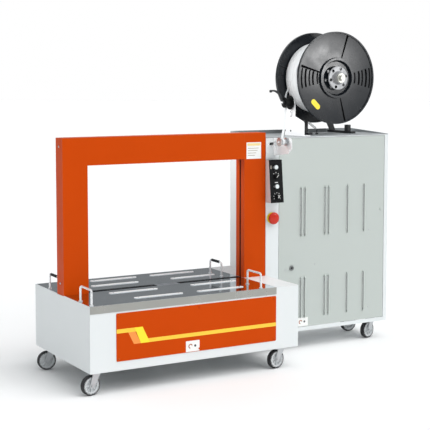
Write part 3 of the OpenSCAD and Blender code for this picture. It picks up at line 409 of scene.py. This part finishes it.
def prism(bm, outline, depth, place, bevel=0.0):
    """A closed outline in a plane, extruded by depth; place maps (u, v, w) to the row frame."""
    low = [bm.verts.new(place(u, v, 0)) for u, v in outline]
    high = [bm.verts.new(place(u, v, depth)) for u, v in outline]
    faces = [bm.faces.new(low[::-1]), bm.faces.new(high)]
    count = len(outline)
    for i in range(count):
        faces.append(bm.faces.new([low[i], low[(i + 1) % count], high[(i + 1) % count], high[i]]))
    if bevel:
        rim = [e for e in faces[1].edges]
        bmesh.ops.bevel(bm, geom=rim, offset=bevel * MM, segments=2, affect="EDGES", profile=0.6)
    return faces


def on_front(y):
    """Maps (x, z, w) to a plane that faces the front at Y = y, with w out of it."""
    return lambda u, v, w: at(u, y - w, v)


def on_top(z):
    """Maps (x, y, w) to a level plane at height z, with w out of it."""
    return lambda u, v, w: at(u, v, z + w)


def rounded_rectangle(x0, z0, x1, z1, radius, steps=5):
    points = []
    for cx, cz, start in ((x1 - radius, z1 - radius, 0), (x0 + radius, z1 - radius, 90),
                          (x0 + radius, z0 + radius, 180), (x1 - radius, z0 + radius, 270)):
        for i in range(steps + 1):
            a = math.radians(start + 90 * i / steps)
            points.append((cx + radius * math.cos(a), cz + radius * math.sin(a)))
    return points


def circle(cx, cy, radius, steps=32):
    return [(cx + radius * math.cos(2 * math.pi * i / steps),
             cy + radius * math.sin(2 * math.pi * i / steps)) for i in range(steps)]


def turned(outline, degrees):
    """The outline turned counterclockwise about its origin."""
    c = math.cos(math.radians(degrees))
    s = math.sin(math.radians(degrees))
    return [(u * c - v * s, u * s + v * c) for u, v in outline]


def lathe(bm, profile, centre, axis, segments=48):
    """Turns a profile of (radius, height) about the axis through centre; heights follow the axis."""
    axis = Vector(axis).normalized()
    side = axis.orthogonal().normalized()
    other = axis.cross(side)
    rings = []
    for radius, height in profile:
        if radius < 1e-6:
            rings.append([bm.verts.new(centre + axis * height * MM)])
            continue
        rings.append([bm.verts.new(centre + axis * height * MM
                                   + (side * math.cos(2 * math.pi * k / segments)
                                      + other * math.sin(2 * math.pi * k / segments)) * radius * MM)
                      for k in range(segments)])
    for low, high in zip(rings, rings[1:]):
        for k in range(segments):
            n = (k + 1) % segments
            if len(low) == 1 and len(high) == 1:
                continue
            if len(low) == 1:
                bm.faces.new([low[0], high[k], high[n]])
            elif len(high) == 1:
                bm.faces.new([low[k], low[n], high[0]])
            else:
                bm.faces.new([low[k], low[n], high[n], high[k]])


def tube(bm, points, radius, segments=10):
    """A round bar along points of the row frame, closed at both ends."""
    points = [Vector(p) for p in points]
    ring_before = None
    normal = None
    for i, point in enumerate(points):
        ahead = points[min(i + 1, len(points) - 1)] - points[max(i - 1, 0)]
        ahead.normalize()
        if normal is None:
            normal = ahead.orthogonal().normalized()
        normal = (normal - ahead * normal.dot(ahead)).normalized()
        other = ahead.cross(normal)
        ring = [bm.verts.new(point + (normal * math.cos(2 * math.pi * k / segments)
                                      + other * math.sin(2 * math.pi * k / segments)) * radius)
                for k in range(segments)]
        if ring_before:
            for k in range(segments):
                n = (k + 1) % segments
                bm.faces.new([ring_before[k], ring_before[n], ring[n], ring[k]])
        else:
            bm.faces.new(ring[::-1])
        ring_before = ring
    bm.faces.new(ring_before)


def box(bm, low, high, bevel=0.6):
    """A block between two corners in machine millimetres, with rounded edges."""
    made = bmesh.ops.create_cube(bm, size=1)
    size = Vector(high) - Vector(low)
    centre = (at(*low) + at(*high)) / 2
    for vert in made["verts"]:
        vert.co = centre + Vector([c * s * MM for c, s in zip(vert.co, size)])
    if bevel:
        edges = list({e for v in made["verts"] for e in v.link_edges})
        bmesh.ops.bevel(bm, geom=edges, offset=bevel * MM, segments=2, affect="EDGES", profile=0.7)


# ---- CAD nodes with more than one material ----

WHEEL_RADIUS = 45
for number in range(1, 9):
    name = f"caster_wheel_{number}"
    hub = on_machine(middle(name))
    paint_faces(name, extra["hub_grey"],
                lambda p, hub=hub: (p - hub).length < WHEEL_RADIUS - 5.5)

# The guide brackets take the brighter white: painted light on their shaded sides.
for node, name in (("cabinet_top", "lid_grey"), ("upper_guide_bracket", "bracket_white_painted_light"),
                   ("lower_guide_bracket", "bracket_white_painted_light"), ("door_lock", "lock_grey"),
                   ("reel_lock_nut", "hub_plate")):
    frame["nodes"][node].data.materials[0] = extra[name]

# The cover's screws are painted over, and only the front plate of the station is black.
paint_faces("cover_screws", materials["orange_paint"], lambda p: p.y < 0 and p.x < 1000)
station = frame["nodes"]["control_station"].data
station.materials.append(materials["white_paint"])
for face in station.polygons:
    if abs(face.normal.x) > 0.95 or face.normal.z < -0.9:
        face.material_index = 1

FLANGE_BACK = on_machine(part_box("reel_front_flange")[1]).y
REEL = on_machine(reel_centre)
HUB_FRONT = FLANGE_BACK - 29


def in_flange_groove(p):
    """True for the floors and walls of the grooves and slots in the front flange."""
    from_axis = math.hypot(p.x - REEL.x, p.z - REEL.z)
    return 108 < from_axis < 234 and 3.5 < FLANGE_BACK - p.y < 8.7


def in_hub_hole(p):
    """True for the walls of the six holes in the hub plate."""
    from_axis = math.hypot(p.x - REEL.x, p.z - REEL.z)
    return 40.5 < from_axis < 57.5 and HUB_FRONT + 0.2 < p.y


# The front flange's grooves and slots and the walls of the hub plate's holes are painted black: painted
# shade in these recesses.
paint_faces("reel_front_flange", extra["painted_shade_black"], in_flange_groove)
paint_faces("reel_lock_nut", extra["painted_shade_black"], in_hub_hole)
paint_faces("reel_lock_nut", extra["nut_steel"], lambda p: p.y < HUB_FRONT - 17)

# ---- Decals and labels ----

PANEL_FACE = -2


def make_stripes():
    """The yellow stripe of the front panel, which steps down through a slanted band."""
    left, right = 129, 974
    yellow = [(left, 284), (258, 284), (285, 227), (right, 227), (right, 209), (249, 209),
              (226, 265), (left, 265)]
    bm = bmesh.new()
    prism(bm, yellow, 0.25, on_front(PANEL_FACE - 0.05))
    new_piece("front_stripe_yellow", bm, "machine", extra["vinyl_yellow"])
    bm = bmesh.new()
    prism(bm, [(258, 284), (218, 284), (249, 209), (294, 209)], 0.2, on_front(PANEL_FACE - 0.35))
    new_piece("front_stripe_bright", bm, "machine", extra["vinyl_bright"])
    bm = bmesh.new()
    prism(bm, [(222, 265), (186, 265), (214, 209), (249, 209)], 0.25, on_front(PANEL_FACE - 0.05))
    new_piece("front_stripe_light", bm, "machine", extra["vinyl_light_orange"])


def pictogram_label(name, body, x0, z0, x1, z1, face):
    """A white label with two plain marks, a ring and a dot."""
    bm = bmesh.new()
    prism(bm, rounded_rectangle(x0, z0, x1, z1, 3), 0.3, on_front(face - 0.05))
    new_piece(name, bm, body, extra["label_white"])
    width = x1 - x0
    centre_z = (z0 + z1) / 2
    bm = bmesh.new()
    prism(bm, circle(x0 + width * 0.68, centre_z + 1, width * 0.08, 20), 0.15, on_front(face - 0.4))
    new_piece(name + "_dot", bm, body, extra["label_dark"])
    bm = bmesh.new()
    arc = [(x0 + width * 0.34 + width * 0.16 * math.cos(a), centre_z + width * 0.16 * math.sin(a))
           for a in [math.radians(20 + 16 * i) for i in range(16)]]
    inner = [(x0 + width * 0.34 + width * 0.09 * math.cos(a), centre_z + width * 0.09 * math.sin(a))
             for a in [math.radians(20 + 16 * i) for i in range(16)]]
    prism(bm, arc + inner[::-1], 0.15, on_front(face - 0.4))
    new_piece(name + "_ring", bm, body, extra["label_brown"])


def make_post_label():
    face = 300
    bm = bmesh.new()
    prism(bm, rounded_rectangle(989, 998, 1075, 1081, 2), 0.3, on_front(face - 0.05))
    new_piece("post_label", bm, "machine", extra["label_white"])
    bm = bmesh.new()
    prism(bm, rounded_rectangle(994, 1064, 1070, 1076, 1.5), 0.15, on_front(face - 0.4))
    new_piece("post_label_header", bm, "machine", extra["label_cream"])
    bm = bmesh.new()
    for row in range(4):
        z = 1052 - row * 12
        prism(bm, rounded_rectangle(997, z - 2, 1060 - row * 7, z + 1, 1), 0.1, on_front(face - 0.4))
    new_piece("post_label_lines", bm, "machine", extra["mark_beige"])


def make_reel_label():
    """The oblong label on the reel's front flange, lying along the rim."""
    centre = reel_centre
    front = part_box("reel_front_flange")[0].y + 12 * MM
    angle = math.radians(226.6)
    radius = 189
    along = Vector((-math.sin(angle), 0, math.cos(angle)))
    out = Vector((math.cos(angle), 0, math.sin(angle)))
    base = Vector((centre.x, front, centre.z)) + out * radius * MM

    def place(u, v, w):
        return base + along * u * MM + out * v * MM + Vector((0, -w * MM, 0))

    bm = bmesh.new()
    prism(bm, rounded_rectangle(-33, -14, 33, 14, 13.9, 8), 0.3, place)
    new_piece("reel_label", bm, "reel", extra["vinyl_bright"])


make_stripes()
pictogram_label("front_label", "machine", 480, 139, 552, 190, PANEL_FACE)
pictogram_label("door_label", "door", 1297, 112, 1367, 157, CABINET_FRONT)
make_post_label()
make_reel_label()


# ---- Reel and guides ----

def make_strap_roll():
    """The wound strap: turns of 12 mm strap side by side, each a little higher or lower."""
    low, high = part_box("strap_roll")
    centre = (low + high) / 2
    width = (high.y - low.y) / MM
    outer = (high.x - low.x) / 2 / MM
    inner = 101.5
    turns = int(width // 12)
    pitch = width / turns
    picker = random.Random(5)
    profile = [(inner, 0)]
    for i in range(turns):
        level = outer - 0.15 - picker.choice((0.0, 0.7, 0.7, 1.4))
        start = i * pitch
        profile += [(level - 0.7, start), (level, start + 0.35), (level, start + pitch - 0.35),
                    (level - 0.7, start + pitch)]
    profile += [(inner, width), (inner, 0)]
    bm = bmesh.new()
    lathe(bm, profile, Vector((centre.x, low.y, centre.z)), (0, 1, 0), 160)
    bmesh.ops.remove_doubles(bm, verts=bm.verts, dist=1e-6)
    roll = new_piece("wound_strap", bm, "reel", materials["strap_plastic"])
    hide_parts("strap_roll")


def make_brake_spring():
    """The tension spring of the reel's brake, between its two lugs."""
    start, end = at(1466, 465, 1172), at(1530, 465, 1128)
    run = end - start
    along = run.normalized()
    side = along.orthogonal().normalized()
    other = along.cross(side)
    coils = 11
    steps = coils * 14
    coil_radius = 0.006
    wire_radius = 0.0009
    points = [start - along * 0.004, start]
    for i in range(steps + 1):
        share = i / steps
        turn = 2 * math.pi * coils * share
        spread = coil_radius * min(1, 10 * share, 10 * (1 - share))
        points.append(start + run * (0.06 + 0.88 * share)
                      + (side * math.cos(turn) + other * math.sin(turn)) * spread)
    points += [end, end + along * 0.004]
    bm = bmesh.new()
    tube(bm, points, wire_radius, 8)
    new_piece("brake_spring", bm, "machine", extra["steel_bright"], smooth=60)
    bm = bmesh.new()
    box(bm, (1524, 459, 1103), (1536, 471, 1109))
    box(bm, (1528, 463, 1108), (1532, 467, 1130))
    new_piece("spring_anchor", bm, "machine", materials["black_steel"])


def make_guide_screws():
    bm = bmesh.new()
    for y, z in ((477, 1127), (423, 1127)):
        lathe(bm, [(0, 0), (5, 0), (5, 1.2), (3.6, 2.4), (0, 2.4)], at(1335, y, z), (-1, 0, 0), 20)
    new_piece("guide_bracket_screws", bm, "machine", extra["screw_dark"])


# ---- Door ----

def make_door_parts():
    bm = bmesh.new()
    for x0, x1 in ((1300, 1360), (1450, 1510), (1600, 1635), (1708, 1743)):
        for z0, z1 in ((585, 842), (157, 373)):
            box(bm, (x0, CABINET_FRONT + 2.4, z0), (x1, CABINET_FRONT + 4.4, z1), 0.3)
    new_piece("louvre_filter_mats", bm, "door", extra["filter_mat"])
    bm = bmesh.new()
    for x, z in ((1757, 593), (1757, 174), (1224, 417), (1408, 433)):
        lathe(bm, [(0, 0), (4, 0), (4, 0.8), (2.8, 1.6), (0, 1.6)], at(x, CABINET_FRONT, z),
              (0, -1, 0), 20)
    new_piece("door_screws", bm, "door", materials["zinc_steel"])
    bm = bmesh.new()
    lathe(bm, [(0, 0), (10, 0), (10, 1.5), (8, 3), (0, 3)], at(1838, CABINET_FRONT, 700),
          (0, -1, 0), 28)
    new_piece("door_latch_cap", bm, "door", materials["cabinet_grey"])


# ---- Controls ----

STATION_X = 1143
STATION_TOP = 990
STATION_TOP_DEPTH = 27
START_Z = 953
MODE_Z = 907
STOP_Z = 856
TENSION_Z = 805
ESTOP_Z = 692
ESTOP_X = on_machine(middle("estop_button")).x
STATION_TILT = math.atan(21 / 216)


def station_place(z):
    """Maps (u, v, w) to the sloped face of the station at height z, with w out of it."""
    c, t = math.cos(STATION_TILT), math.sin(STATION_TILT)
    y = CABINET_FRONT - STATION_TOP_DEPTH - (STATION_TOP - z) * math.tan(STATION_TILT)
    return lambda u, v, w: at(STATION_X + u, y + v * t - w * c, z + v * c + w * t)


def make_control_marks():
    start, mode = station_place(START_Z), station_place(MODE_Z)
    stop, tension = station_place(STOP_Z), station_place(TENSION_Z)
    bm = bmesh.new()
    pointer = [(-1.2, -9), (1.2, -9), (1.2, 10), (-1.2, 10)]
    prism(bm, turned(pointer, -45), 0.5, lambda u, v, w: mode(u, v, 15.9 + w))
    new_piece("mode_knob_pointer", bm, "mode_knob", extra["mark_white"])
    bm = bmesh.new()
    bar = [(-1.3, -9), (1.3, -9), (1.3, 9), (-1.3, 9)]
    for sign in (-1, 1):
        prism(bm, turned(bar, 38 * sign), 0.5 + 0.1 * sign, lambda u, v, w: tension(u, v, 18.9 + w))
    new_piece("tension_knob_grip_mark", bm, "tension_knob", extra["mark_white"])
    bm = bmesh.new()
    mode_dash = [(-1.6, 16), (1.6, 16), (1.6, 22), (-1.6, 22)]
    for angle in (-45, 0, 45):
        prism(bm, turned(mode_dash, -angle), 0.2, mode)
    tension_dash = [(-1.3, 17), (1.3, 17), (1.3, 22), (-1.3, 22)]
    for step in range(-3, 4):
        prism(bm, turned(tension_dash, -40 * step), 0.2, tension)
    prism(bm, rounded_rectangle(-9, 18.5, 9, 22.5, 1), 0.2, stop)
    new_piece("station_scale_marks", bm, "machine", extra["mark_white"])
    bm = bmesh.new()
    for row in range(3):
        prism(bm, rounded_rectangle(-33, -7 + row * 6, -22, -4 + row * 6, 1), 0.2, start)
    new_piece("station_start_marks", bm, "machine", extra["mark_beige"])
    bm = bmesh.new()
    lathe(bm, [(20.5, 0), (29, 0), (29, 0.8), (20.5, 0.8), (20.5, 0)],
          at(ESTOP_X, CABINET_FRONT, ESTOP_Z), (0, -1, 0), 64)
    bmesh.ops.remove_doubles(bm, verts=bm.verts, dist=1e-6)
    new_piece("estop_yellow_plate", bm, "machine", extra["vinyl_bright"])


# ---- Table ----

def make_strip_screws():
    """Two countersunk screws in every glide strip."""
    for body, rows in (("front_table", ((165, 90), (217, 250))), ("rear_table", ((217, 460), (165, 590)))):
        bm = bmesh.new()
        for offset, y in rows:
            for side in (-1, 1):
                for end in (-105, 105):
                    lathe(bm, [(0, 0), (3.6, 0), (3.6, 0.3), (1.5, 0.5), (0, 0.1)],
                          at(552 + side * offset + end, y, TABLE_TOP + 2.4), (0, 0, 1), 16)
        new_piece(body + "_strip_screws", bm, body, extra["screw_dark"])


# ---- Inside the base and the cabinet ----

def make_slot_edges():
    """Black strips along the strap slot, painted shade for the dark of the open slot, with gaps where the
    strapping head comes up.
    """
    front, rear = 336, 344
    runs = ((132, 497), (623, 972))
    for body, y0, y1 in (("front_table", front - 13, front - 0.3), ("rear_table", rear + 0.3, rear + 13)):
        bm = bmesh.new()
        for x0, x1 in runs:
            prism(bm, [(x0, y0), (x1, y0), (x1, y1), (x0, y1)], 0.5, on_top(TABLE_TOP + 0.02))
        new_piece(body + "_slot_strips", bm, body, extra["painted_shade_black"])


def make_handle_grips():
    """Black sleeves on the top bars of the rear handles."""
    low, high = [on_machine(end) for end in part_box("rear_handles")]
    y0 = low.y + 28
    y1 = high.y - 28
    top = high.z - 5
    bm = bmesh.new()
    for x in (low.x + 9, high.x - 9):
        lathe(bm, [(5.05, 0), (6.6, 0), (6.9, 1.5), (6.9, y1 - y0 - 1.5), (6.6, y1 - y0),
                   (5.05, y1 - y0), (5.05, 0)], at(x, y0, top), (0, 1, 0), 24)
    bmesh.ops.remove_doubles(bm, verts=bm.verts, dist=1e-6)
    new_piece("rear_handle_grips", bm, "rear_table", materials["black_plastic"])


def make_flange_arcs():
    """Three rows of black arcs on each side of the front flange: painted shade for the flange's arc slots.
    """
    bm = bmesh.new()
    floor = FLANGE_BACK - 9

    def face(u, v, w):
        return at(REEL.x + u, floor - w, REEL.z + v)

    for radius in (122, 172, 220):
        for middle_angle in (0, 180):
            steps = [math.radians(middle_angle + a) for a in range(-14, 15, 2)]
            outer = [((radius + 4.5) * math.cos(a), (radius + 4.5) * math.sin(a)) for a in steps]
            inner = [((radius - 4.5) * math.cos(a), (radius - 4.5) * math.sin(a)) for a in steps]
            prism(bm, outer + inner[::-1], 0.25, face)
    new_piece("flange_arc_marks", bm, "reel", extra["painted_shade_black"])


def make_motor_details():
    bm = bmesh.new()
    for i in range(15):
        x = 330 + i * 8.5
        lathe(bm, [(51.8, 0), (57, 0), (57, 2), (51.8, 2), (51.8, 0)], at(x, 340, 245), (1, 0, 0), 48)
    bmesh.ops.remove_doubles(bm, verts=bm.verts, dist=1e-6)
    new_piece("motor_fins", bm, "machine", extra["motor_paint"])
    bm = bmesh.new()
    lathe(bm, [(0, 0), (46, 0), (50, 4), (50, 22), (40, 26), (0, 26)], at(318, 340, 245), (-1, 0, 0), 40)
    new_piece("motor_fan_cowl", bm, "machine", extra["motor_paint"])


def make_panel_details():
    """Ducts, terminals, contactor fronts and wires on the electrical mounting plate."""
    spacer = 14
    plate = 3
    front = CABINET_BACK - spacer - plate
    bm = bmesh.new()
    for z, height in ((768, 22), (560, 22), (976, 20)):
        box(bm, (1310, front - 40, z), (1770, front, z + height), 0.8)
    new_piece("cable_ducts", bm, "machine", extra["duct_grey"])
    bm = bmesh.new()
    for i in range(20):
        box(bm, (1502 + i * 12.3, front - 52, 646), (1513 + i * 12.3, front - 40, 684), 0.6)
    new_piece("terminal_blocks", bm, "machine", extra["terminal_green"])
    bm = bmesh.new()
    for i in range(4):
        x = 1590 + i * 48
        box(bm, (x + 6, front - 90, 880), (x + 36, front - 84, 930), 1.0)
        for k in range(3):
            box(bm, (x + 7 + k * 11, front - 89, 934), (x + 14 + k * 11, front - 84, 944), 0.5)
    new_piece("contactor_fronts", bm, "machine", materials["black_plastic"])
    bm = bmesh.new()
    box(bm, (1345, front - 73, 862), (1545, front - 69, 872), 0.5)
    box(bm, (1345, front - 73, 948), (1545, front - 69, 958), 0.5)
    new_piece("controller_terminals", bm, "machine", extra["terminal_green"])
    bm = bmesh.new()
    for i in range(10):
        x = 1510 + i * 23
        tube(bm, [at(x, front - 46, 684), at(x, front - 50, 702), at(x + 4, front - 44, 735),
                  at(x + 4, front - 30, 760), at(x + 4, front - 20, 770)], 0.0016, 8)
    new_piece("terminal_wires", bm, "machine", extra["label_dark"])


make_strap_roll()
make_brake_spring()
make_guide_screws()
make_door_parts()
make_control_marks()
make_strip_screws()
make_slot_edges()
make_handle_grips()
make_flange_arcs()
make_motor_details()
make_panel_details()
